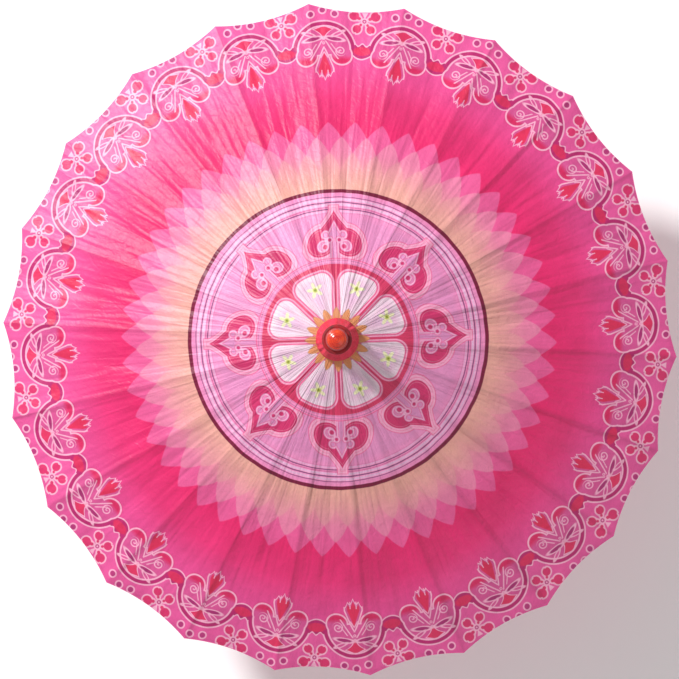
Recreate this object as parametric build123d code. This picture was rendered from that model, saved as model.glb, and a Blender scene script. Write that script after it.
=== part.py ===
from build123d import *
from math import atan2, cos, degrees, hypot, radians, sin, tan
import os

# Oil paper umbrella, drawn open. Millimetres, +Z up along the shaft, origin at the centre of the
# handle's flat end. Each STEP file is one physical piece, placed where it sits on the open umbrella.

# ribs and stretchers
RIBS = 22                   # long ribs, and as many short ribs (stretchers)
RIB_SLOPE = 22.0            # long rib below the horizontal when open, degrees
RIB_END = 427.0             # from the head pivot to the outer end of a long rib
RIB_WIDE = 4.2
RIB_HALF_DEEP = 2.7
RIB_TIP_DEEP = 2.6          # depth left at the outer end
PIVOT_R = 18.0              # radius of the ring of pivots, the same at head and runner
PIVOT_Z = 515.0             # height of the head pivots
JOINT_ALONG = 200.0         # head pivot to rib joint, along the long rib
JOINT_BELOW = 5.0           # rib joint below the long rib's centre line
EAR_WIDE = 4.6
SHORT_WIDE = 3.4
SHORT_HALF_DEEP = 3.0
TONGUE = 2.0                # thickness of every tongue that enters a slot
SLOT = 2.6                  # width of every slot
SLOT_FLOOR_R = 14.4         # radius where the slots end, next to the shaft
THREAD_R = 0.5              # tying thread
THREAD_HOLE_R = 0.8         # hole for it in a rib
PIN_R = 0.6                 # bamboo pin of a rib joint
EAR_HALF_LONG = 3.0         # of the ear along the long rib, and the radius of its round end
SLOT_BACK, SLOT_FRONT = 9.0, 24.0           # ends of a long rib's slot, from the rib joint
SLOT_ROOF = -1.6            # top of that slot, from the rib's centre line
PIN_HOLE_R = 0.9            # hole for it in a short rib

# head, runner, shaft, handle
HEAD_R = 23.0
SHAFT_R = 7.0
SHAFT_FOOT = 30.0           # lower end of the shaft, inside the handle
RUNNER_BORE_R = 7.3
RUNNER_WAIST_R = 18.5
RUNNER_BELOW, RUNNER_ABOVE = 16.0, 13.0     # runner ends, from its pivots
NOTCH_BELOW, NOTCH_ABOVE = 14.0, 12.0       # top notch ends, from its pivots
SLOT_DEPTH = 3.6            # head and runner slots, past their pivots
HANDLE_R, HANDLE_LONG = 11.0, 92.0
CAP_R, CAP_TOP_R = 26.0, 17.0
CAP_TOP = PIVOT_Z + 26.0
BINDING_R, BINDING_HIGH = 18.0, 4.5
KNOB_R, KNOB_TOP, KNOB_DOME = 13.4, PIVOT_Z + 46.0, 8.0

# canopy
TIP_R = 420.0               # canopy radius at a rib
EDGE_DIP = 7.4              # how far each edge bows in from the straight line between two tips
PAPER = 0.6
PAPER_CLEAR = 0.45          # between the ribs and the underside of the paper
HEM = 4.0                   # from the paper's edge to the rim thread
THREAD_WIDE, THREAD_DEEP = 1.2, 0.8

# spring catch
CATCH_X = 4.2               # pin of the catch, from the shaft's axis
CATCH_WIDE, CATCH_DEEP = 2.4, 2.8
CATCH_LONG = 46.0           # from its pin to its nose
NOSE_X = 10.4
CATCH_PIN_R = 0.8
CATCH_GAP = 0.6             # between the nose and the runner's lower end

# The rib joint, the head pivot and the runner pivot make an isosceles triangle, so the stretcher
# always slopes as much as the line from the head pivot to the joint.
PITCH = 360.0 / RIBS
LINK = hypot(JOINT_ALONG, JOINT_BELOW)
LINK_SLOPE = RIB_SLOPE + degrees(atan2(JOINT_BELOW, JOINT_ALONG))
RUNNER_Z = PIVOT_Z - 2 * LINK * sin(radians(LINK_SLOPE))
CATCH_Z = RUNNER_Z - RUNNER_BELOW - CATCH_GAP - CATCH_LONG
SLOPE = tan(radians(RIB_SLOPE))


def around(i):
    """Turn to the radial plane of rib i, counted from 0."""
    return Rot(0, 0, i * PITCH)


def cross_pin(x, y_half, z, radius):
    """A cylinder along Y, centred at (x, 0, z)."""
    return Pos(x, 0, z) * Rot(90, 0, 0) * Cylinder(radius, 2 * y_half)


def block(x0, x1, y_half, z0, z1):
    """A box from x0 to x1 and z0 to z1, centred on the radial plane."""
    return Pos((x0 + x1) / 2, 0, (z0 + z1) / 2) * Box(x1 - x0, 2 * y_half, z1 - z0)


def strip(plan, side):
    """A strip along X with half its plan outline given as (x, half width) and its side as (x, z)."""
    outline = plan + [(x, -w) for x, w in reversed(plan)]
    flat = Pos(0, 0, -10) * extrude(make_face(Polyline(*outline, close=True)), 20)
    upright = make_face(Plane.XZ * Polyline(*side, close=True))
    return flat & extrude(upright, 10, both=True)


def turned(profile):
    """A solid of revolution about Z from a closed (radius, z) outline."""
    return revolve(make_face(Plane.XZ * Polyline(*profile, close=True)), Axis.Z)


def long_rib():
    """Rib along +X from its head pivot, with the two ears and the pin of its stretcher joint."""
    half = RIB_WIDE / 2
    plan = [(-4, TONGUE / 2), (27, TONGUE / 2), (36, half), (400, half), (RIB_END, 1.3)]
    side = [
        (0, RIB_HALF_DEEP),
        (RIB_END, RIB_HALF_DEEP),
        (RIB_END, RIB_HALF_DEEP - RIB_TIP_DEEP),
        (300, -RIB_HALF_DEEP),
        (0, -RIB_HALF_DEEP),
    ]
    a, drop = JOINT_ALONG, -JOINT_BELOW
    rib = strip(plan, side) + cross_pin(0, TONGUE / 2, 0, RIB_HALF_DEEP)
    ear = block(a - EAR_HALF_LONG, a + EAR_HALF_LONG, EAR_WIDE / 2, drop, -2)
    ear += cross_pin(a, EAR_WIDE / 2, drop, EAR_HALF_LONG)
    shoulder = Pos(0, 0, -2.4) * strip(
        [(a - 14, 1), (a - 6, EAR_WIDE / 2), (a + 6, EAR_WIDE / 2), (a + 14, 1)],
        [(a - 14, 1.9), (a + 14, 1.9), (a + 14, 0), (a + 4, -1.4), (a - 4, -1.4), (a - 14, 0)],
    )
    rib += ear + shoulder
    rib -= block(a - SLOT_BACK, a + SLOT_FRONT, SLOT / 2, drop - 5, SLOT_ROOF)
    rib -= cross_pin(0, 3, 0, THREAD_HOLE_R) + cross_pin(a, 5, drop, PIN_R)
    return Compound([rib.solid(), cross_pin(a, EAR_WIDE / 2, drop, PIN_R).solid()])


def short_rib():
    """Stretcher along +X from its runner pivot to its rib joint."""
    half, deep, end = SHORT_WIDE / 2, SHORT_HALF_DEEP, LINK
    thin = TONGUE / 2
    plan = [(-4, thin), (20, thin), (30, half), (end - 38, half), (end - 28, thin), (end + 4, thin)]
    bar = strip(plan, [(0, deep), (end, deep), (end, -deep), (0, -deep)])
    bar += cross_pin(0, thin, 0, deep) + cross_pin(end, thin, 0, deep)
    bar -= cross_pin(0, 3, 0, THREAD_HOLE_R)
    bar -= cross_pin(end, 3, 0, PIN_HOLE_R)
    return bar.solid()


def slotted(blank, z0, z1, thread_z):
    """Cut the ring of rib slots, and the channel that holds the tying thread, into a turned blank."""
    cutter = block(SLOT_FLOOR_R, HEAD_R + 3, SLOT / 2, z0, z1)
    blank = blank - [around(i) * cutter for i in range(RIBS)]
    return (blank - Pos(0, 0, thread_z) * Torus(PIVOT_R, THREAD_R)).solid()


def thread_ring(z):
    """Tying thread through the feet of all the ribs of one ring."""
    return (Pos(0, 0, z) * Torus(PIVOT_R, THREAD_R)).solid()


def under_canopy(lift):
    """The 22-sided pyramid below a canopy surface that lies 'lift' over the ribs' centre lines."""
    apex = PIVOT_Z + PIVOT_R * SLOPE + lift / cos(radians(RIB_SLOPE))
    rings = []
    for radius in (TIP_R + 25, 3):
        face = RegularPolygon(radius, RIBS)
        rings.append(Pos(0, 0, apex - radius * SLOPE) * face)
    return loft(rings, ruled=True)


def rim_points(inset, i):
    """Start, middle and end of edge i of the canopy in plan, moved in from the edge by 'inset'."""
    tip = TIP_R - inset
    middle = TIP_R * cos(radians(PITCH / 2)) - EDGE_DIP - inset
    spots = ((tip, i), (middle, i + 0.5), (tip, i + 1))
    return [(r * cos(radians(k * PITCH)), r * sin(radians(k * PITCH))) for r, k in spots]


def inside_rim(inset):
    """Upright block whose outline is the canopy's edge moved in by 'inset'."""
    edge = [ThreePointArc(*rim_points(inset, i)) for i in range(RIBS)]
    return extrude(make_face(Curve() + edge), PIVOT_Z + 60)


def canopy(paper_under, paper_over):
    """Paper ridged over the ribs, with an edge that bows in between the tips."""
    sheet = (paper_over - paper_under) & inside_rim(0)
    return (sheet - Pos(0, 0, PIVOT_Z) * Cylinder(HEAD_R, 80)).solid()


def rim_thread(paper_under, thread_under):
    """Flat thread glued under the hem, from tip to tip all round."""
    band = inside_rim(HEM - THREAD_WIDE / 2) - inside_rim(HEM + THREAD_WIDE / 2)
    return ((paper_under - thread_under) & band).solid()


def top_notch():
    """Wooden head on the shaft, slotted from below for the long ribs."""
    z0, z1 = PIVOT_Z - NOTCH_BELOW, PIVOT_Z + NOTCH_ABOVE
    blank = turned([(SHAFT_R, z0), (21, z0), (HEAD_R, z0 + 2), (HEAD_R, z1 - 4), (19, z1), (SHAFT_R, z1)])
    return slotted(blank, z0 - 1, PIVOT_Z + SLOT_DEPTH, PIVOT_Z)


def runner():
    """Wooden slider on the shaft, slotted from above for the stretchers, with a waist to hold."""
    z0, z1 = RUNNER_Z - RUNNER_BELOW, RUNNER_Z + RUNNER_ABOVE
    waist = RUNNER_WAIST_R
    blank = turned([
        (RUNNER_BORE_R, z0), (waist - 1, z0), (waist, z0 + 1), (waist, z0 + 7),
        (HEAD_R, z0 + 10), (HEAD_R, z1 - 2), (21, z1), (RUNNER_BORE_R, z1),
    ])
    return slotted(blank, RUNNER_Z - SLOT_DEPTH, z1 + 1, RUNNER_Z)


def handle():
    """Turned grip with a flat end, two grooves and a narrowed shoulder where the shaft enters."""
    r, top = HANDLE_R, HANDLE_LONG
    outline = [
        (0, 0), (r - 1.5, 0), (r, 1.5), (r, 66), (r - 1, 67), (r - 1, 68.5), (r, 69.5), (r, 73),
        (r - 1, 74), (r - 1, 75.5), (r, 76.5), (r, 82), (r - 2.2, top), (0, top),
    ]
    bore = Pos(0, 0, SHAFT_FOOT + (top - SHAFT_FOOT) / 2) * Cylinder(SHAFT_R, top - SHAFT_FOOT)
    return (turned(outline) - bore).solid()


def shaft():
    """Bamboo stick with the pocket of the spring catch."""
    top = KNOB_TOP - 9
    stick = Pos(0, 0, (SHAFT_FOOT + top) / 2) * Cylinder(SHAFT_R, top - SHAFT_FOOT)
    stick -= block(-2.6, 9, CATCH_WIDE / 2 + 0.35, CATCH_Z - 4, CATCH_Z + CATCH_LONG + 3)
    return (stick - cross_pin(CATCH_X, 9, CATCH_Z, CATCH_PIN_R)).solid()


def spring_catch():
    """Leaf hinged at its foot, with a wedge-shaped nose under the runner."""
    inner, outer = CATCH_X - CATCH_DEEP / 2, CATCH_X + CATCH_DEEP / 2
    z0, z1 = CATCH_Z, CATCH_Z + CATCH_LONG
    side = [(inner, z0), (outer, z0), (outer, z1 - 18), (NOSE_X, z1 - 1.5), (NOSE_X, z1), (inner, z1)]
    leaf = extrude(make_face(Plane.XZ * Polyline(*side, close=True)), CATCH_WIDE / 2, both=True)
    leaf += cross_pin(CATCH_X, CATCH_WIDE / 2, z0, 1.9)
    return (leaf - cross_pin(CATCH_X, 3, z0, CATCH_PIN_R + 0.3)).solid()


def catch_pin():
    """Pin of the catch, cut flush with the shaft."""
    stick = Pos(0, 0, CATCH_Z) * Cylinder(SHAFT_R, 8)
    return (cross_pin(CATCH_X, SHAFT_R + 1, CATCH_Z, CATCH_PIN_R) & stick).solid()


def cap_cover(paper_over, head, stick):
    """Layers of glued paper and cloth wound over the head, resting on the canopy."""
    skirt, top = PIVOT_Z - 8, CAP_TOP
    outline = [
        (SHAFT_R, skirt), (CAP_R, skirt), (CAP_R, PIVOT_Z + 3), (CAP_R - 1.6, PIVOT_Z + 8),
        (CAP_R - 5, PIVOT_Z + 14), (CAP_TOP_R + 2, PIVOT_Z + 21), (CAP_TOP_R, top), (SHAFT_R, top),
    ]
    solid_head = Pos(0, 0, PIVOT_Z - 10) * Cylinder(HEAD_R, 20)
    return (turned(outline) - paper_over - solid_head - head - stick).solid()


def cap_binding():
    """Ring round the foot of the knob."""
    z0, z1, inner, r = CAP_TOP, CAP_TOP + BINDING_HIGH, 14.0, BINDING_R
    return turned([(inner, z0), (r - 1, z0), (r, z0 + 1), (r, z1 - 1.2), (r - 1.2, z1), (inner, z1)]).solid()


def finial():
    """Turned wooden knob with a domed top, socketed on the shaft."""
    z0, top, r = CAP_TOP, KNOB_TOP, KNOB_R
    knob = turned([
        (0, z0), (14, z0), (14, z0 + 4.5), (12.6, z0 + 5.5), (12.6, z0 + 6.5), (r, z0 + 7.5),
        (r, top), (0, top),
    ])
    dome_r = (r**2 + KNOB_DOME**2) / (2 * KNOB_DOME)
    socket = top - 9 - z0
    knob = knob & Pos(0, 0, top - dome_r) * Sphere(dome_r)
    return (knob - Pos(0, 0, z0 + socket / 2) * Cylinder(SHAFT_R, socket)).solid()


def build():
    clear = RIB_HALF_DEEP + PAPER_CLEAR
    paper_under, paper_over = under_canopy(clear), under_canopy(clear + PAPER)
    thread_under = under_canopy(clear - THREAD_DEEP)
    head, stick = top_notch(), shaft()
    pieces = {
        "shaft": stick,
        "handle": handle(),
        "top_notch": head,
        "notch_thread": thread_ring(PIVOT_Z),
        "runner": runner(),
        "runner_thread": thread_ring(RUNNER_Z),
        "spring_catch": spring_catch(),
        "catch_pin": catch_pin(),
        "finial": finial(),
        "cap_binding": cap_binding(),
        "cap_cover": cap_cover(paper_over, head, stick),
        "canopy": canopy(paper_under, paper_over),
        "rim_thread": rim_thread(paper_under, thread_under),
    }
    rib = Pos(PIVOT_R, 0, PIVOT_Z) * Rot(0, RIB_SLOPE, 0) * long_rib()
    stretcher = Pos(PIVOT_R, 0, RUNNER_Z) * Rot(0, -LINK_SLOPE, 0) * short_rib()
    for i in range(RIBS):
        pieces[f"long_rib_{i + 1:02d}"] = around(i) * rib
        pieces[f"short_rib_{i + 1:02d}"] = around(i) * stretcher
    return pieces


os.makedirs("parts", exist_ok=True)
for name, piece in build().items():
    piece.label = name
    export_step(piece, f"parts/{name}.step")
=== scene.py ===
import bpy
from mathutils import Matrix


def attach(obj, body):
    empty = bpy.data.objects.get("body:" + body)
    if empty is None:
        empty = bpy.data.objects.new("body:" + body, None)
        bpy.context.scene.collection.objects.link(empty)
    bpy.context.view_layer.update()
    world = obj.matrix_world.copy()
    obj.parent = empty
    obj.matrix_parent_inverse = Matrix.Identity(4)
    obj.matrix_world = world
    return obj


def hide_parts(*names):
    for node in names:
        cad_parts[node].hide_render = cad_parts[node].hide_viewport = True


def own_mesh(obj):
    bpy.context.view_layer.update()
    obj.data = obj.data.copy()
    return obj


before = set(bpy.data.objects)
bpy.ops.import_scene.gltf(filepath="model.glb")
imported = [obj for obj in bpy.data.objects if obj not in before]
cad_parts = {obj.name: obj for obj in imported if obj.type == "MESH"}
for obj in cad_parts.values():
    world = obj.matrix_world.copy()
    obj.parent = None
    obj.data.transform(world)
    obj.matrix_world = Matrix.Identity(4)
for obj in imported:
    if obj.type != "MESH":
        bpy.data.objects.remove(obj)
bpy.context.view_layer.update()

import bpy
import random
from math import cos, hypot, pi, radians, sin, tan
from mathutils import Matrix, Vector, noise

random.seed(22)

# The CAD model's dimensions, in metres
MM = 0.001
RIBS = 22
PITCH = 2 * pi / RIBS
RIB_SLOPE = radians(22.0)
PIVOT_R, PIVOT_Z = 18 * MM, 515 * MM
TIP_R, EDGE_DIP, HEAD_R = 420 * MM, 7.4 * MM, 23 * MM
PAPER_OVER = 3.75 * MM          # outer face of the paper above a rib's centre line
CAP_TOP = PIVOT_Z + 26 * MM
APEX_Z = PIVOT_Z + PIVOT_R * tan(RIB_SLOPE) + PAPER_OVER / cos(RIB_SLOPE)
FACET = tan(RIB_SLOPE) / cos(PITCH / 2)    # fall of a flat panel along its middle line


# ---- materials built from nodes ------------------------------------------------------------------
class Field:
    """A number that a material works out at each point."""

    nodes = links = None

    def __init__(self, socket):
        self.socket = socket

    def __add__(self, other):
        return work("ADD", self, other)

    def __radd__(self, other):
        return work("ADD", other, self)

    def __sub__(self, other):
        return work("SUBTRACT", self, other)

    def __rsub__(self, other):
        return work("SUBTRACT", other, self)

    def __mul__(self, other):
        return work("MULTIPLY", self, other)

    def __rmul__(self, other):
        return work("MULTIPLY", other, self)

    def __truediv__(self, other):
        return work("DIVIDE", self, other)


def plug(value, socket):
    """Link a field or a node's output to a socket, or set the socket to a number or colour."""
    if isinstance(value, Field):
        Field.links.new(value.socket, socket)
    elif isinstance(value, bpy.types.NodeSocket):
        Field.links.new(value, socket)
    else:
        socket.default_value = value


def work(kind, *values, clamp=False):
    node = Field.nodes.new("ShaderNodeMath")
    node.operation, node.use_clamp = kind, clamp
    for value, socket in zip(values, node.inputs):
        plug(value, socket)
    return Field(node.outputs[0])


def clamp01(a):
    return work("ADD", a, 0.0, clamp=True)


def absolute(a):
    return work("ABSOLUTE", a)


def root(a):
    return work("SQRT", a)


def larger(a, b):
    return work("MAXIMUM", a, b)


def smaller(a, b):
    return work("MINIMUM", a, b)


def cosine(a):
    return work("COSINE", a)


def sine(a):
    return work("SINE", a)


def power(a, b):
    return work("POWER", a, b)


def angle(y, x):
    return work("ARCTAN2", y, x)


def wrap(a, step):
    return work("WRAP", a, step / 2, -step / 2)


def smooth_union(a, b, k):
    return work("SMOOTH_MIN", a, b, k)


def fade(a, start, end):
    """0 at start to 1 at end, eased."""
    node = Field.nodes.new("ShaderNodeMapRange")
    node.interpolation_type = "SMOOTHSTEP"
    plug(a, node.inputs["Value"])
    plug(start, node.inputs["From Min"])
    plug(end, node.inputs["From Max"])
    return Field(node.outputs["Result"])


def over(below, above, amount):
    """Colour 'above' laid over colour 'below'."""
    node = Field.nodes.new("ShaderNodeMix")
    node.data_type = "RGBA"
    plug(amount, node.inputs[0])
    plug(below, node.inputs[6])
    plug(above, node.inputs[7])
    return node.outputs[2]


def multiply(colour, tint, amount=1.0):
    node = Field.nodes.new("ShaderNodeMix")
    node.data_type, node.blend_type = "RGBA", "MULTIPLY"
    plug(amount, node.inputs[0])
    plug(colour, node.inputs[6])
    plug(tint, node.inputs[7])
    return node.outputs[2]


def ramp(value, stops):
    """A colour that follows 'value' through (position, colour) stops, positions from 0 to 1."""
    node = Field.nodes.new("ShaderNodeValToRGB")
    ramp_stops = node.color_ramp.elements
    for i, (position, colour) in enumerate(stops):
        stop = ramp_stops[i] if i < 2 else ramp_stops.new(position)
        stop.position, stop.color = position, colour
    plug(value, node.inputs[0])
    return node.outputs[0]


def blend_stops(r, stops):
    low, high = stops[0][0], stops[-1][0]
    return ramp((r - low) / (high - low), [((at - low) / (high - low), c) for at, c in stops])


def coordinates():
    return Field.nodes.new("ShaderNodeTexCoord").outputs["Object"]


def split_xyz(vector):
    node = Field.nodes.new("ShaderNodeSeparateXYZ")
    plug(vector, node.inputs[0])
    return [Field(output) for output in node.outputs]


def stretched(vector, scale, turn=(0, 0, 0)):
    node = Field.nodes.new("ShaderNodeMapping")
    plug(vector, node.inputs["Vector"])
    node.inputs["Scale"].default_value = scale
    node.inputs["Rotation"].default_value = turn
    return node.outputs[0]


def speckle(vector, scale, detail=3.0, rough=0.55, warp=0.0):
    node = Field.nodes.new("ShaderNodeTexNoise")
    plug(vector, node.inputs["Vector"])
    settings = (("Scale", scale), ("Detail", detail), ("Roughness", rough), ("Distortion", warp))
    for name, value in settings:
        node.inputs[name].default_value = value
    return Field(node.outputs["Fac"])


def bump(height, distance, strength):
    node = Field.nodes.new("ShaderNodeBump")
    plug(height, node.inputs["Height"])
    node.inputs["Distance"].default_value = distance
    node.inputs["Strength"].default_value = strength
    return node.outputs[0]


def new_material(name):
    """An empty material whose nodes the functions above add to, and its main shader."""
    material = bpy.data.materials.new(name)
    material.use_nodes = True
    Field.nodes, Field.links = material.node_tree.nodes, material.node_tree.links
    return material, Field.nodes["Principled BSDF"]


def srgb(r, g, b):
    """Linear colour from 0-255 sRGB."""
    linear = [((v / 255 + 0.055) / 1.055) ** 2.4 if v > 10 else v / 3294.6 for v in (r, g, b)]
    return (*linear, 1.0)


# How many motifs go round, and where the first of each stands, in degrees
BORDER_COUNT, BORDER_PHASE = 24, 5.9
PETAL_COUNT, PETAL_PHASE = 50, 9.3
HEART_COUNT, HEART_PHASE = 8, 4.9
MEDALLION_R, BORDER_R = 190.0, 318.0    # where one paper material takes over from the next

PALE = srgb(255, 190, 215)
GROUND = srgb(236, 92, 160)
BAND = srgb(190, 36, 112)
MAUVE = srgb(222, 88, 152)
CRIMSON = srgb(222, 40, 100)
DARK_PINK = srgb(168, 34, 110)
RED = srgb(228, 46, 92)
PETAL_1 = srgb(238, 98, 158)
PETAL_2 = srgb(238, 136, 172)
PETAL_3 = srgb(236, 158, 170)
STRAW = srgb(240, 182, 158)
PINK_BAND = srgb(250, 150, 200)
LILAC = srgb(230, 150, 200)
WHITE_LILAC = srgb(238, 205, 236)
INK = srgb(110, 60, 110)
HALO = srgb(252, 176, 208)
PINK_LINE = srgb(240, 106, 156)
HEART = srgb(214, 52, 112)
CRIMSON_DISC = srgb(220, 58, 104)
PETAL_WHITE = srgb(248, 224, 238)
BLOSSOM = srgb(246, 244, 196)
BLOSSOM_SHADE = srgb(214, 206, 214)
BLOSSOM_HEART = srgb(196, 206, 90)
LEAF_GREEN = srgb(130, 146, 60)
LEAF = srgb(238, 158, 104)
MAROON = srgb(126, 16, 60)
# The paper under the print: radius in millimetres, and colour
PLAIN = (
    (262.0, srgb(234, 38, 110)), (300.0, srgb(235, 52, 122)), (330.0, srgb(234, 74, 144)),
    (352.0, srgb(234, 82, 154)), (375.0, srgb(236, 86, 152)), (420.0, srgb(236, 74, 142)),
)


# ---- the print, in plan millimetres --------------------------------------------------------------
# Every shape is a distance in millimetres, below zero inside. 's' is a width from a motif's centre
# line and 'v' the radius, so each motif is drawn once and repeats round the shaft.


def mask(distance, soft=0.7):
    return clamp01(0.5 - distance / soft)


def line(distance, width):
    return mask(absolute(distance) - width / 2)


def circle(x, y, radius):
    return root(x * x + y * y) - radius


def ellipse(x, y, a, b):
    return (root((x / a) * (x / a) + (y / b) * (y / b)) - 1.0) * min(a, b)


def within(v, low, high):
    return larger(v - high, low - v)


def repeat(theta, count, phase):
    """Angle from the middle of the nearest of 'count' motifs, the first at 'phase' degrees."""
    step = 2 * pi / count
    return wrap(theta - radians(phase), step)


def border_print(c, r, theta):
    """Arches round the rim with flowers between them; 's' is from an arch and 's2' from a flower."""
    v = r
    s = absolute(repeat(theta, BORDER_COUNT, BORDER_PHASE) * r)
    s2 = absolute(repeat(theta, BORDER_COUNT, BORDER_PHASE + 180 / BORDER_COUNT) * r)
    arch_v, flower_v = 361.0, 397.0
    # regions
    arch = ellipse(s, v - arch_v, 39.5, 36.5)
    lobe = circle(s - 21.3, v - 353.5, 13.2)
    inner = smaller(larger(ellipse(s, v - arch_v, 32.6, 30.0), 353.0 - v), lobe)
    wavy = 348.2 + clamp01(s2 / 11.0) * clamp01(s2 / 11.0) * 4.6
    crown = 366.5 + cosine(s2 * 0.62) * 1.7
    lens_zone = larger(v - crown, wavy - v)
    band = smaller(larger(arch, 352.0 - v), larger(lens_zone, s2 - 16.0))
    above_wave = smaller(larger(wavy - v, s2 - 14.0), larger(355.0 - v, 0.0 - s))
    c = over(c, GROUND, mask(above_wave, 1.5))
    c = over(c, BAND, mask(band))
    c = over(c, MAUVE, mask(inner))
    c = over(c, CRIMSON, mask(larger(lobe, v - 350.0), 6.0))
    # flower between two arches
    petal_up = smooth_union(circle(s2 - 13.4, v - 404.0, 7.0), circle(s2 - 6.6, v - 400.4, 3.0), 3.0)
    petal_low = smooth_union(circle(s2 - 8.6, v - 386.6, 6.2), circle(s2 - 4.2, v - 392.4, 2.6), 3.0)
    notch = smaller(circle(s2 - 18.6, v - 409.6, 1.8), circle(s2 - 11.0, v - 380.2, 1.6))
    petals = larger(smaller(petal_up, petal_low), 0.0 - notch)
    c = over(c, CRIMSON, mask(petals) * 0.85)
    heart = larger(s2 - (v - 400.5) * 0.5, v - 408.0)
    rings = smaller(absolute(petals), absolute(circle(s2, v - flower_v, 3.6)))
    c = over(c, DARK_PINK, mask(circle(s2, v - flower_v, 3.0)) * 0.6)
    pale = smaller(rings - 0.95, smaller(circle(s2, v - flower_v, 1.1), heart))
    # dots over each arch
    dots = smaller(circle(s - 15.0, v - 406.2, 4.5), circle(s, v - 411.0, 4.5))
    c = over(c, DARK_PINK, mask(dots + 1.2) * 0.75)
    pale = smaller(pale, absolute(dots) - 0.9)
    # arch and inner outlines, crown and wavy line
    pale = smaller(pale, larger(absolute(arch) - 0.95, 366.5 - v))
    pale = smaller(pale, absolute(inner) - 1.0)
    pale = smaller(pale, larger(absolute(v - crown) - 0.85, s2 - 9.2))
    pale = smaller(pale, larger(absolute(v - wavy) - 0.85, s2 - 12.6))
    lens = ellipse(s2, v - 358.6, 11.0, 5.8)
    c = over(c, RED, mask(lens, 1.5) * 0.85)
    # fan, leaves and scrolls under the arch
    u = clamp01((v - 376.0) / 10.5)
    fan = larger(s - (u * u * 10.5 + 1.3), larger(v - (390.6 - s * 0.42), 375.5 - v))
    c = over(c, RED, mask(fan) * 0.9)
    pale = smaller(pale, absolute(fan - 1.0) - 0.65)
    leaf = ellipse(s - 13.4, v - (376.2 - s * 0.17), 11.6, 2.9)
    c = over(c, DARK_PINK, mask(leaf + 0.4) * 0.9)
    frond = ellipse(s - 18.0, v - (374.0 + s * 0.36), 7.6, 2.1)
    pale = smaller(pale, smaller(absolute(leaf), absolute(frond)) - 0.6)
    knots = smaller(circle(s, v - 374.6, 1.6), circle(s, v - 368.6, 1.3))
    stem = larger(absolute(s - (2.2 + (371.5 - v) * 0.62)) * 0.85 - 0.75, within(v, 347.5, 371.5))
    stem2 = larger(absolute(s - (6.5 + (371.5 - v) * 0.70)) * 0.82 - 0.6, within(v, 355.0, 368.0))
    dx, dy = s - 20.6, v - 357.8
    rho = root(dx * dx + dy * dy)
    spacing = 3.9
    turn = wrap((rho / spacing - angle(dy, dx) / (2 * pi)) * 2 * pi, 2 * pi) / (2 * pi)
    spiral = larger(absolute(turn) * spacing - 0.7, rho - 6.6)
    pale = smaller(pale, smaller(smaller(stem, stem2), smaller(spiral, absolute(knots) - 0.5)))
    # hanging teardrop with fingers
    h = clamp01((363.0 - v) / 27.0)
    side = larger(s - power(h, 0.85) * 11.0, v - 363.0)
    foot = 321.5 + s * 0.62 + absolute(sine(s * 0.46)) * 4.2
    drop = larger(side, foot - v)
    fingers = larger(absolute(s - 3.8) - 0.55, within(v, 325.0, 334.0))
    c = over(c, MAUVE, mask(drop))
    c = over(c, RED, mask(drop + 3.4, 1.2) * (1.0 - mask(fingers)))
    pale = larger(pale, 0.0 - drop)
    pale = smaller(pale, smaller(absolute(drop) - 0.9, fingers))
    peak = larger(absolute(s - (357.5 - v) * 0.62) * 0.85 - 0.6, within(v, 350.0, 357.5))
    pale = smaller(pale, peak)
    return over(c, PALE, mask(pale, 0.8) * 0.92)


def petal_rings(c, r, theta, streak):
    """Three layers of pointed petals that open from a straw-coloured centre."""
    inward = []
    for tip, depth, bend, phase in (
        (268.0, 19.5, 1.25, PETAL_PHASE), (249.0, 20.0, 1.45, PETAL_PHASE + 180 / PETAL_COUNT),
        (229.0, 22.0, 1.6, PETAL_PHASE),
    ):
        share = absolute(repeat(theta, PETAL_COUNT, phase)) / (pi / PETAL_COUNT)
        inward.append(r - (tip - power(share, bend) * depth))
    first, second, third = inward
    c = over(c, PETAL_1, mask(first, 2.0) * (0.82 + streak * 0.18))
    c = over(c, PETAL_2, mask(second, 2.2) * (0.80 + streak * 0.2))
    c = over(c, PETAL_3, mask(third, 3.0) * 0.7)
    c = over(c, STRAW, fade(r, 236.0, 186.0) * (0.70 + streak * 0.3))
    c = over(c, PETAL_2, mask(within(r, 182.0, 226.0), 30.0) * clamp01(streak * 1.6 - 0.55) * 0.5)
    return c


def heart_shape(s, v, inset):
    """Heart with its point outward, or the same moved in by 'inset'."""
    tip, widest = 158.0 - inset * 1.25, 119.0
    u = clamp01((tip - v) / (tip - widest))
    upper = larger(larger(s - (power(u, 1.28) * (33.6 - inset)), widest - v), v - tip)
    lobe = circle(s - 16.4, v - widest, 17.4 - inset)
    return smaller(upper, lobe)


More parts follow.
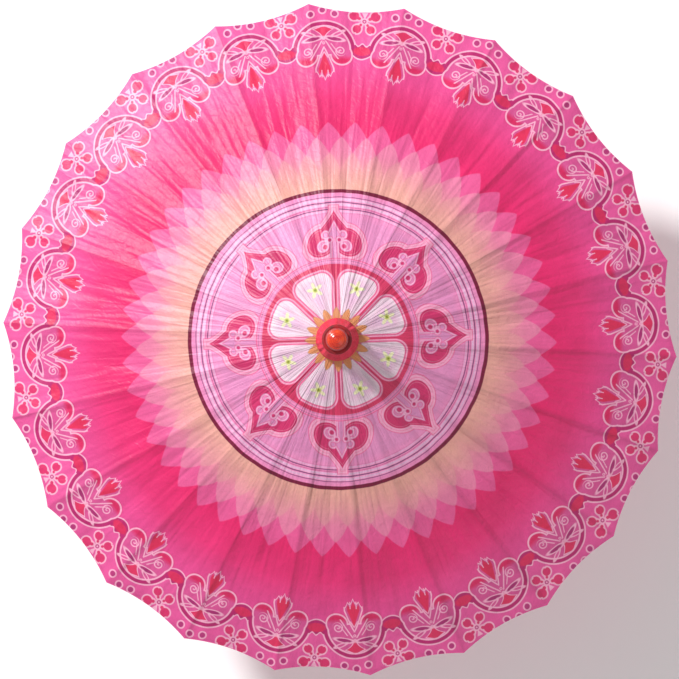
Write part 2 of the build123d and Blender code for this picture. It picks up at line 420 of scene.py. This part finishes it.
def medallion(c, r, theta):
    """Ringed disc with a wheel of hearts round a wheel of white petals."""
    c = over(c, PINK_BAND, mask(r - 181.5, 1.0))
    for radius, width, colour, weight in (
        (176.0, 1.0, LILAC, 0.55), (174.0, 1.1, INK, 0.8), (171.0, 3.2, WHITE_LILAC, 0.65),
        (167.6, 1.3, INK, 0.95), (164.6, 3.0, WHITE_LILAC, 0.7), (161.6, 1.0, DARK_PINK, 0.5),
        (159.2, 1.3, INK, 0.95), (156.6, 2.2, WHITE_LILAC, 0.55), (154.5, 0.8, DARK_PINK, 0.35),
    ):
        c = over(c, colour, line(r - radius, width) * weight)
    c = over(c, LILAC, mask(r - 153.0, 14.0) * 0.75)
    # hearts
    s, v = absolute(repeat(theta, HEART_COUNT, HEART_PHASE) * r), r
    outer = heart_shape(s, v, 0.0)
    c = over(c, HALO, mask(outer - 6.2, 1.2) * 0.9)
    c = over(c, PINK_LINE, line(outer - 6.4, 1.3) * 0.8)
    c = over(c, PINK_LINE, line(outer - 2.9, 0.9) * 0.6)
    c = over(c, HEART, mask(outer))
    stem = larger(s - 5.6, within(v, 94.0, 126.0))
    point = larger(s - (146.0 - v) * 0.52, within(v, 120.0, 146.0))
    bulbs = smaller(circle(s - 10.5, v - 128.0, 5.6), circle(s - 14.0, v - 114.5, 7.6))
    hollow = smaller(smaller(stem, point), smooth_union(bulbs, circle(s - 7.5, v - 120.5, 4.0), 2.5))
    hook = smaller(circle(s - 11.4, v - 113.4, 2.7), circle(s - 5.8, v - 121.4, 2.0))
    hollow = larger(hollow, 0.0 - hook)
    c = over(c, LILAC, mask(hollow, 0.9))
    c = over(c, PALE, line(hollow + 1.3, 1.1) * 0.8)
    c = over(c, PINK_LINE, line(hollow + 2.7, 0.8) * mask(hollow) * 0.8)
    c = over(c, HALO, line(outer + 2.4, 0.7) * 0.35)
    # inner disc
    c = over(c, PINK_BAND, mask(r - 99.0, 1.0))
    c = over(c, PINK_LINE, line(r - 98.6, 1.3))
    c = over(c, INK, line(r - 96.4, 0.7) * 0.55)
    c = over(c, INK, line(r - 92.9, 0.6) * 0.45)
    c = over(c, CRIMSON_DISC, mask(r - 92.0, 0.8))
    half_step = 180 / HEART_COUNT
    t = repeat(theta, HEART_COUNT, HEART_PHASE + half_step)
    x, y = absolute(sine(t) * r), cosine(t) * r
    flank = x * cos(radians(half_step)) - y * sin(radians(half_step)) + 4.0
    end = circle(x, y, 84.0)
    corner = 15.0
    a, b = larger(flank + corner, 0.0), larger(end + corner, 0.0)
    petal = root(a * a + b * b) + smaller(larger(flank, end) + corner, 0.0) - corner
    c = over(c, PINK_LINE, mask(petal - 3.0) * 0.9)
    c = over(c, HALO, line(petal - 1.6, 1.6))
    c = over(c, PETAL_WHITE, mask(petal + 1.0, 1.2))
    c = over(c, LILAC, mask(petal + 9.0, 12.0) * 0.55)
    c = over(c, WHITE_LILAC, mask(petal + 15.0, 10.0) * 0.8)
    # small five-pointed blossom on each petal
    fx, fy = sine(t) * r, cosine(t) * r - 65.5
    rho = root(fx * fx + fy * fy)
    star = rho - (6.6 + cosine(angle(fx, fy) * 5.0) * 3.2)
    c = over(c, BLOSSOM_SHADE, mask(star - 1.3, 2.4) * 0.8)
    c = over(c, BLOSSOM, mask(star, 1.0))
    c = over(c, BLOSSOM_HEART, mask(rho - 2.7, 1.8))
    c = over(c, LEAF_GREEN, mask(rho - 1.3, 1.2) * 0.9)
    # leaves round the head
    leaf_count = 2 * HEART_COUNT
    share = absolute(repeat(theta, leaf_count, HEART_PHASE)) / (pi / leaf_count)
    leaf = r - (39.0 - share * share * 9.0 - share * 5.0)
    c = over(c, PINK_LINE, mask(r - 30.0, 1.0))
    c = over(c, LEAF_GREEN, mask(leaf - 0.9, 1.0) * 0.5)
    c = over(c, LEAF, mask(leaf, 1.0))
    return over(c, MAROON, line(r - 181.8, 4.6))


def medallion_paper(r, theta, streak):
    return medallion(petal_rings(blend_stops(r, PLAIN), r, theta, streak), r, theta)


def petal_paper(r, theta, streak):
    return petal_rings(blend_stops(r, PLAIN), r, theta, streak)


def border_paper(r, theta, streak):
    return border_print(blend_stops(r, PLAIN), r, theta)


STREAKS = 26.0                 # how finely the paper's streaks divide the circle
SEE_THROUGH = 0.22             # share of the light that the oiled paper lets through


def printed_paper(name, draw):
    """Oiled paper with part of the print, which soaks through to both faces, and its fibres."""
    material, shader = new_material(name)
    attribute = Field.nodes.new("ShaderNodeAttribute")
    attribute.attribute_name = "plan"
    plan = attribute.outputs["Vector"]
    x, y, _ = split_xyz(plan)
    drift = speckle(plan, 0.05, 1.0)
    r = root(x * x + y * y) + (drift - 0.5) * 1.6
    theta = angle(y, x)
    # a space in which noise runs in streaks along the radius
    combine = Field.nodes.new("ShaderNodeCombineXYZ")
    plug(cosine(theta) * STREAKS, combine.inputs[0])
    plug(sine(theta) * STREAKS, combine.inputs[1])
    plug(r * 0.012, combine.inputs[2])
    rays = combine.outputs[0]
    streak = speckle(rays, 1.0, 4.0, 0.65)
    colour = draw(r, theta, streak)
    blotch = speckle(plan, 0.022, 3.0)
    colour = multiply(colour, ramp(blotch, [(0.3, (0.84, 0.80, 0.83, 1)), (0.7, (1, 1, 1, 1))]))
    fibre = speckle(stretched(plan, (1.0, 0.35, 1.0), (0, 0, 0.5)), 0.9, 4.0, 0.7, 0.6)
    colour = multiply(colour, ramp(fibre, [(0.3, (0.90, 0.88, 0.90, 1)), (0.6, (1, 1, 1, 1))]), 0.8)
    plug(colour, shader.inputs["Base Color"])
    plug(fibre * 0.16 + 0.36, shader.inputs["Roughness"])
    shader.inputs["Specular IOR Level"].default_value = 0.45
    shader.inputs["Sheen Weight"].default_value = 0.12
    crease = speckle(rays, 1.1, 1.2, 0.5, 0.3)
    crinkle = speckle(plan, 0.11, 4.0, 0.6, 0.8)
    relief = crease * 1.3 + crinkle * 0.5 + fibre * 0.04
    normal = bump(relief, 0.0026, 0.75)
    plug(normal, shader.inputs["Normal"])
    glow = Field.nodes.new("ShaderNodeBsdfTranslucent")
    plug(colour, glow.inputs["Color"])
    plug(normal, glow.inputs["Normal"])
    mix = Field.nodes.new("ShaderNodeMixShader")
    mix.inputs[0].default_value = SEE_THROUGH
    plug(shader.outputs[0], mix.inputs[1])
    plug(glow.outputs[0], mix.inputs[2])
    plug(mix.outputs[0], Field.nodes["Material Output"].inputs["Surface"])
    return material


def bamboo(name, light, dark, grain=(2.0, 34.0, 34.0), rough=0.42):
    """Split bamboo or wood: long grain, darker flecks, and soft patches a little darker than the rest.
    """
    material, shader = new_material(name)
    place = coordinates()
    long_grain = speckle(stretched(place, grain), 18.0, 5.0, 0.62, 0.25)
    fine = speckle(stretched(place, tuple(g * 4 for g in grain)), 22.0, 3.0, 0.6)
    patch = speckle(place, 9.0, 2.0)
    colour = ramp(long_grain, [(0.28, dark), (0.55, light), (0.9, light)])
    colour = multiply(colour, ramp(fine, [(0.35, (0.72, 0.66, 0.58, 1)), (0.62, (1, 1, 1, 1))]), 0.7)
    colour = multiply(colour, ramp(patch, [(0.3, (0.82, 0.78, 0.72, 1)), (0.7, (1, 1, 1, 1))]), 0.8)
    plug(colour, shader.inputs["Base Color"])
    plug(fine * 0.25 + (rough - 0.1), shader.inputs["Roughness"])
    shader.inputs["Coat Weight"].default_value = 0.15
    shader.inputs["Coat Roughness"].default_value = 0.3
    plug(bump(long_grain * 0.6 + fine * 0.5, 0.0004, 0.6), shader.inputs["Normal"])
    return material


def lacquer():
    """Orange-red lacquer over turned wood, with the lathe's rings and painted shade darkening its rim.
    """
    material, shader = new_material("red_lacquer")
    place = coordinates()
    x, y, _ = split_xyz(place)
    r = root(x * x + y * y) * (1 / MM)
    cloud = speckle(place, 160.0, 3.0)
    rings = cosine(r * 2.6 + cloud * 1.5) * 0.5 + 0.5
    colour = ramp(cloud, [(0.3, srgb(196, 26, 8)), (0.62, srgb(232, 66, 14)), (0.8, srgb(244, 104, 30))])
    colour = over(colour, srgb(150, 10, 10), rings * 0.35)
    # painted shade: darker towards the knob's rim, where the dome turns down
    colour = over(colour, srgb(140, 6, 14), fade(r, 10.5, 13.6) * 0.8)
    plug(colour, shader.inputs["Base Color"])
    plug(cloud * 0.2 + 0.2, shader.inputs["Roughness"])
    shader.inputs["Coat Weight"].default_value = 0.6
    shader.inputs["Coat Roughness"].default_value = 0.15
    plug(bump(rings * 0.5 + cloud * 0.3, 0.0004, 0.5), shader.inputs["Normal"])
    return material


def cloth(name, light, dark, threads=900.0, rough=0.62, sheen=0.3):
    """Paper cloth or wound thread: a fine weave, soft blotches and a little sheen."""
    material, shader = new_material(name)
    place = coordinates()
    wave = Field.nodes.new("ShaderNodeTexWave")
    wave.bands_direction = "Z"
    plug(place, wave.inputs["Vector"])
    wave.inputs["Scale"].default_value = threads
    wave.inputs["Distortion"].default_value = 1.2
    patch = speckle(place, 120.0, 4.0)
    strand = Field(wave.outputs["Fac"])
    colour = ramp(patch, [(0.32, dark), (0.62, light)])
    colour = multiply(colour, ramp(strand, [(0.0, (0.8, 0.76, 0.78, 1)), (0.6, (1, 1, 1, 1))]), 0.5)
    plug(colour, shader.inputs["Base Color"])
    plug(patch * 0.2 + (rough - 0.1), shader.inputs["Roughness"])
    shader.inputs["Sheen Weight"].default_value = sheen
    plug(bump(strand * 0.4 + patch * 0.8, 0.0005, 0.6), shader.inputs["Normal"])
    return material


# ---- shapes --------------------------------------------------------------------------------------
def mesh_object(name, points, faces, materials):
    mesh = bpy.data.meshes.new(name)
    mesh.from_pydata([tuple(p) for p in points], [], faces)
    for material in materials:
        mesh.materials.append(material)
    mesh.validate()
    mesh.shade_smooth()
    piece = bpy.data.objects.new(name, mesh)
    bpy.context.scene.collection.objects.link(piece)
    return piece


def grid_faces(rows, columns, closed=False):
    """Quads over a grid of points stored row by row; 'closed' joins the last column to the first."""
    last = columns if closed else columns - 1
    return [
        (a * columns + b, a * columns + (b + 1) % columns,
         (a + 1) * columns + (b + 1) % columns, (a + 1) * columns + b)
        for a in range(rows - 1) for b in range(last)
    ]


def tube(path, radius, sides=8):
    """Points and faces of an open tube along a path."""
    points = []
    for i, p in enumerate(path):
        along = (path[min(i + 1, len(path) - 1)] - path[max(i - 1, 0)]).normalized()
        side = along.cross(Vector((0, 0, 1))).normalized()
        up = side.cross(along)
        for k in range(sides):
            a = 2 * pi * k / sides
            points.append(p + (side * cos(a) + up * sin(a)) * radius)
    return points, [tuple(reversed(f)) for f in grid_faces(len(path), sides, closed=True)]


def turned(name, profile, material, segments, shape=None):
    """A surface of revolution from a profile, its radius changed by shape(angle, radius, z)."""
    points = []
    for radius_mm, height_mm in profile:
        radius, z = radius_mm * MM, PIVOT_Z + height_mm * MM
        for k in range(segments):
            a = 2 * pi * k / segments
            rad = radius if shape is None else shape(a, radius, z)
            points.append((rad * cos(a), rad * sin(a), z))
    return mesh_object(name, points, grid_faces(len(profile), segments, closed=True), [material])


def smoothstep(a, b, x):
    t = min(max((x - a) / (b - a), 0.0), 1.0)
    return t * t * (3 - 2 * t)


# ---- canopy --------------------------------------------------------------------------------------
def edge_radius(phi):
    """Plan radius of the paper's edge, at angle phi from the middle of a panel."""
    across = TIP_R * sin(PITCH / 2)
    radius = TIP_R
    for _ in range(6):    # the dip follows from the radius, so the two are settled together
        bow = 1 - (radius * sin(phi) / across) ** 2
        radius = (TIP_R * cos(PITCH / 2) - EDGE_DIP * bow) / cos(phi)
    return radius


def cut_area(steps=400):
    """Area of the flat facet from a rib to the middle of its panel, before any sag or crease."""
    step = PITCH / 2 / steps
    edges = [edge_radius((k + 0.5) * step) for k in range(steps)]
    plan = sum((edge ** 2 - HEAD_R ** 2) * step / 2 for edge in edges)
    return plan * hypot(1, FACET)


# The half-gore as it is cut flat, from the straight lines of the ribs and not from the sagged mesh.
CUT_AREA = cut_area()

STRIP = 2.5 * MM               # half width of the paper that is stuck to a rib
RIPPLE = 0.9 * MM


class Panel:
    """The paper between two ribs: how far it lies below the flat facet, with its own creases."""

    def __init__(self, number):
        self.number = number
        self.depth = random.uniform(0.040, 0.062)
        random.random()    # a draw that nothing uses; without it, every later draw would change
        self.creases = [
            (random.uniform(0.16, 0.84), random.uniform(0.2, 0.8), random.uniform(0.10, 0.24),
             random.uniform(0.28, 0.42), random.uniform(0.5, 1.1))
            for _ in range(3)
        ]

    def sag(self, radius, share):
        """Metres below the facet at 'share' of the way from one rib to the next.

        The paper lies flat on a strip over each rib, sags to a valley in the middle, and has soft
        slanted creases and a slight ripple.
        """
        width = radius * PITCH
        half = width / 2
        side = min(share, 1 - share) * width
        valley = half * self.depth * (1 - abs(2 * share - 1)) ** 0.9
        strip = 0.5 * MM * smoothstep(2.2 * MM, 5.0 * MM, side)
        total = strip + valley * smoothstep(0.03, 0.09, radius)
        for start, end, r0, r1, strength in self.creases:
            along = (radius - r0) / (r1 - r0)
            if -0.2 < along < 1.2:
                centre = start + (end - start) * along
                away = (share - centre) * width / (3.4 * MM)
                fade_out = smoothstep(-0.2, 0.1, along) * (1 - smoothstep(0.9, 1.2, along))
                off_rib = smoothstep(STRIP, 9 * MM, side)
                total += strength * MM * fade_out / (1 + away * away) * off_rib
        ripple = noise.noise(Vector((share * 3.0 + self.number * 7.3, radius * 14.0, 0.0)))
        off_rib, off_head = smoothstep(STRIP, 14 * MM, side), smoothstep(0.05, 0.2, radius)
        total += ripple * RIPPLE * off_rib * off_head
        return max(total, 0.0)


# Rows of a half-gore's grid, with one where each material starts, and columns, closest at the rib
ROW_COUNT, COLUMNS, CROWDING = 96, 17, 1.35
ROWS = sorted(
    [HEAD_R + 0.4 * MM + (TIP_R - HEAD_R) * k / ROW_COUNT for k in range(ROW_COUNT)]
    + [MEDALLION_R * MM, BORDER_R * MM]
)
# A folded half-gore still cuts into the inner part of its own rib, where the slot for a clear plane is
# too narrow.
HEM, HEM_BELOW, HEM_THREAD_R = 3.0 * MM, 0.75 * MM, 0.5 * MM


def gore_points(rib, side, panel):
    """Grid of points of the half-gore on one side (+1 or -1) of a rib; its last row is the edge."""
    points = []
    for row in ROWS + [None]:
        for j in range(COLUMNS):
            off_rib = (j / (COLUMNS - 1)) ** CROWDING * PITCH / 2
            phi = PITCH / 2 - off_rib
            end = edge_radius(phi)
            if row is None:
                radius = end
            else:
                radius = min(HEAD_R + (row - HEAD_R) * (end - HEAD_R) / (TIP_R - HEAD_R), end)
            share = off_rib / PITCH if side > 0 else 1 - off_rib / PITCH
            z = APEX_Z - FACET * radius * cos(phi) - panel.sag(radius, share)
            a = rib * PITCH + side * off_rib
            points.append(Vector((radius * cos(a), radius * sin(a), z)))
    return points


def half_gore(rib, side, panel, papers, thread):
    """The paper from a rib to the middle of the next panel, with its length of the rim's thread."""
    up = Vector((0, 0, 1))
    points = gore_points(rib, side, panel)
    faces = grid_faces(len(ROWS) + 1, COLUMNS)
    if side > 0:
        faces = [tuple(reversed(f)) for f in faces]
    edge = points[-COLUMNS:]
    inward = [Vector((-p.x, -p.y, 0)).normalized() for p in edge]
    drop = HEM_BELOW - HEM * tan(RIB_SLOPE)
    hem = [p + d * HEM - up * drop for p, d in zip(edge, inward)]
    hem_points, hem_faces = tube(hem, HEM_THREAD_R)
    base = len(points)
    number = f"{rib + 1:02d}"
    name = f"canopy_{number}_{'left' if side > 0 else 'right'}"
    everything = points + hem_points
    faces += [tuple(i + base for i in f) for f in hem_faces]
    piece = mesh_object(name, everything, faces, papers + [thread])
    mesh = piece.data
    plan = mesh.attributes.new("plan", "FLOAT_VECTOR", "POINT")
    for i, p in enumerate(everything):
        plan.data[i].vector = (p.x / MM, p.y / MM, 0)
    for polygon in mesh.polygons:
        radius = hypot(polygon.center.x, polygon.center.y)
        if polygon.vertices[0] >= base:
            polygon.material_index = len(papers)
        else:
            polygon.material_index = sum(radius >= start * MM for start in (MEDALLION_R, BORDER_R))
    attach(piece, f"rib_{number}")
    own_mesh(piece)
    return piece


# ---- build ---------------------------------------------------------------------------------------
papers = [
    printed_paper("paper_medallion", medallion_paper),
    printed_paper("paper_petals", petal_paper),
    printed_paper("paper_border", border_paper),
]
thread = cloth("hem_thread", srgb(170, 160, 150), srgb(120, 112, 108), 1400.0)
panels = [Panel(i) for i in range(RIBS)]
for i in range(RIBS):
    half_gore(i, 1, panels[i], papers, thread)
    half_gore(i, -1, panels[i - 1], papers, thread)
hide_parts("canopy", "rim_thread")

rib_wood = bamboo("rib_bamboo", srgb(214, 178, 118), srgb(160, 118, 66))
stick_wood = bamboo(
    "shaft_bamboo", srgb(206, 164, 98), srgb(142, 98, 50), grain=(30.0, 30.0, 1.6)
)
turned_wood = bamboo(
    "turned_wood", srgb(188, 132, 78), srgb(120, 72, 36), grain=(26.0, 26.0, 2.4), rough=0.36
)
tie = cloth("tying_thread", srgb(236, 222, 190), srgb(196, 178, 140), 1400.0)
for name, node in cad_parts.items():
    if name in ("canopy", "rim_thread", "cap_cover", "cap_binding", "finial"):
        continue
    if name.endswith("_thread"):
        look = tie
    elif name in ("top_notch", "runner", "handle"):
        look = turned_wood
    elif name in ("shaft", "spring_catch", "catch_pin"):
        look = stick_wood
    else:
        look = rib_wood
    node.data.materials.clear()
    node.data.materials.append(look)

wrap_cloth = cloth("head_wrap", srgb(240, 34, 76), srgb(206, 12, 46), 700.0, sheen=0.05)
# The binding's dark red is partly its own colour and partly painted shade of the gap between the wrap's
# rim and the knob.
binding_cloth_and_shade = cloth("head_ring", srgb(160, 6, 20), srgb(96, 3, 12), 1100.0, sheen=0.05)
# Pleats of the wrap as a sum of waves round it, each with its own place and strength
WAVES, FEWEST, WAVE_SHARE, PLEAT_DEPTH = 19, 5, 5, 1.1 * MM
folds = [(random.uniform(0, 2 * pi), random.uniform(0.5, 1.4)) for _ in range(WAVES)]


def gathered(a, radius, z):
    """Radius of the pleated wrap; the pleats are deepest about a third of the way up."""
    share = (z - PIVOT_Z) / (CAP_TOP - PIVOT_Z)
    depth = PLEAT_DEPTH * smoothstep(0.0, 0.35, share) * (1.2 - share)
    wave = sum(w * cos((k + FEWEST) * (a - p)) for k, (p, w) in enumerate(folds)) / WAVE_SHARE
    return radius + depth * wave


# Profiles in millimetres: radius, and height above the ribs' pivots
cap_profile = [
    (22.8, -0.5), (25.0, -1.2), (26.0, 0.6), (25.9, 3.0), (25.2, 6.0), (24.0, 9.5), (22.8, 12.5),
    (21.4, 15.5), (20.0, 18.5), (19.0, 21.0), (18.4, 23.0), (18.1, 24.6), (17.0, 25.8), (14.2, 26.2),
    (12.6, 26.2),
]
ring_profile = [
    (13.6, 26.0), (17.0, 26.0), (18.0, 26.8), (18.1, 27.6), (17.7, 28.2), (18.1, 28.8), (18.0, 29.6),
    (17.2, 30.4), (15.4, 30.6), (13.6, 30.3),
]
knob_profile = [
    (14.0, 30.0), (14.1, 31.0), (13.2, 31.8), (12.7, 32.4), (13.3, 33.0), (13.5, 34.2), (13.5, 36.5),
    (13.2, 38.2), (12.5, 39.8), (11.6, 41.2), (10.9, 41.9), (10.7, 41.8), (10.4, 42.1), (9.4, 43.1),
    (8.0, 44.0), (6.9, 44.5), (6.6, 44.4), (6.3, 44.7), (4.8, 45.3), (3.3, 45.6), (2.9, 45.5),
    (2.5, 45.7), (1.2, 45.9), (0.05, 46.0),
]
cap = turned("head_wrap", cap_profile, wrap_cloth, 160, gathered)
ring = turned("head_ring", ring_profile, binding_cloth_and_shade, 128)
knob = turned("knob", knob_profile, lacquer(), 96)
for piece, node, slot in (
    (cap, "cap_cover", "head_wrap"), (ring, "cap_binding", "binding"), (knob, "finial", "red_lacquer"),
):
    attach(piece, "frame")
    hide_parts(node)

# ---- floor, light, camera ------------------------------------------------------------------------
floor_material, floor_shader = new_material("floor")
floor_shader.inputs["Base Color"].default_value = (0.98, 0.98, 0.98, 1)
floor_shader.inputs["Roughness"].default_value = 0.9
floor_shader.inputs["Specular IOR Level"].default_value = 0.1
FLOOR_HALF, FLOOR_Z = 6.0, -0.3 * MM    # just under the handle's flat end, so the two don't coincide
signs = ((-1, -1), (1, -1), (1, 1), (-1, 1))
corners = [(x * FLOOR_HALF, y * FLOOR_HALF, FLOOR_Z) for x, y in signs]
floor = mesh_object("floor", corners, [(0, 1, 2, 3)], [floor_material])

world = bpy.data.worlds.new("studio")
bpy.context.scene.world = world
world.use_nodes = True
background = world.node_tree.nodes["Background"]
background.inputs["Color"].default_value = (1, 1, 1, 1)
background.inputs["Strength"].default_value = 0.46

LIT_POINT = Vector((0, 0, 0.4))


def lamp(name, azimuth, out, height, size, watts):
    """A round soft light at an azimuth and a distance from the shaft, aimed at the canopy."""
    data = bpy.data.lights.new(name, "AREA")
    data.shape, data.size, data.energy = "DISK", size, watts
    light = bpy.data.objects.new(name, data)
    place = Vector((out * cos(azimuth), out * sin(azimuth), height))
    light.location = place
    light.rotation_euler = (LIT_POINT - place).to_track_quat("-Z", "Y").to_euler()
    bpy.context.scene.collection.objects.link(light)


ROLL = radians(2.9)            # the first rib points a little above the picture's right
KEY_AZIMUTH = radians(137.0) + ROLL
lamp("key", KEY_AZIMUTH, out=3.0, height=2.75, size=0.35, watts=165)
lamp("fill", KEY_AZIMUTH + pi, out=2.5, height=3.5, size=2.5, watts=14)

camera = bpy.data.objects.new("camera", bpy.data.cameras.new("camera"))
bpy.context.scene.collection.objects.link(camera)
bpy.context.scene.camera = camera
SENSOR = 36                    # millimetres
DISTANCE = 5.0                 # from the rim's plane
IN_VIEW = 846 * MM             # width of the picture at the rim
LEAN = radians(0.95)           # the photograph is taken a little from the right
camera.data.sensor_width = SENSOR
camera.data.lens = SENSOR * DISTANCE / IN_VIEW
rim = Vector((0, 0, APEX_Z - TIP_R * tan(RIB_SLOPE)))
right = Vector((cos(ROLL), sin(ROLL), 0))
up = Vector((-sin(ROLL), cos(ROLL), 0))
camera.location = rim + Vector((0, 0, DISTANCE)) + right * sin(LEAN) * DISTANCE
back = (camera.location - rim).normalized()
across = up.cross(back).normalized()
camera.rotation_mode = "QUATERNION"
camera.rotation_quaternion = Matrix((across, back.cross(across), back)).transposed().to_quaternion()
camera.data.clip_end = 50
bpy.context.scene.view_settings.view_transform = "Standard"
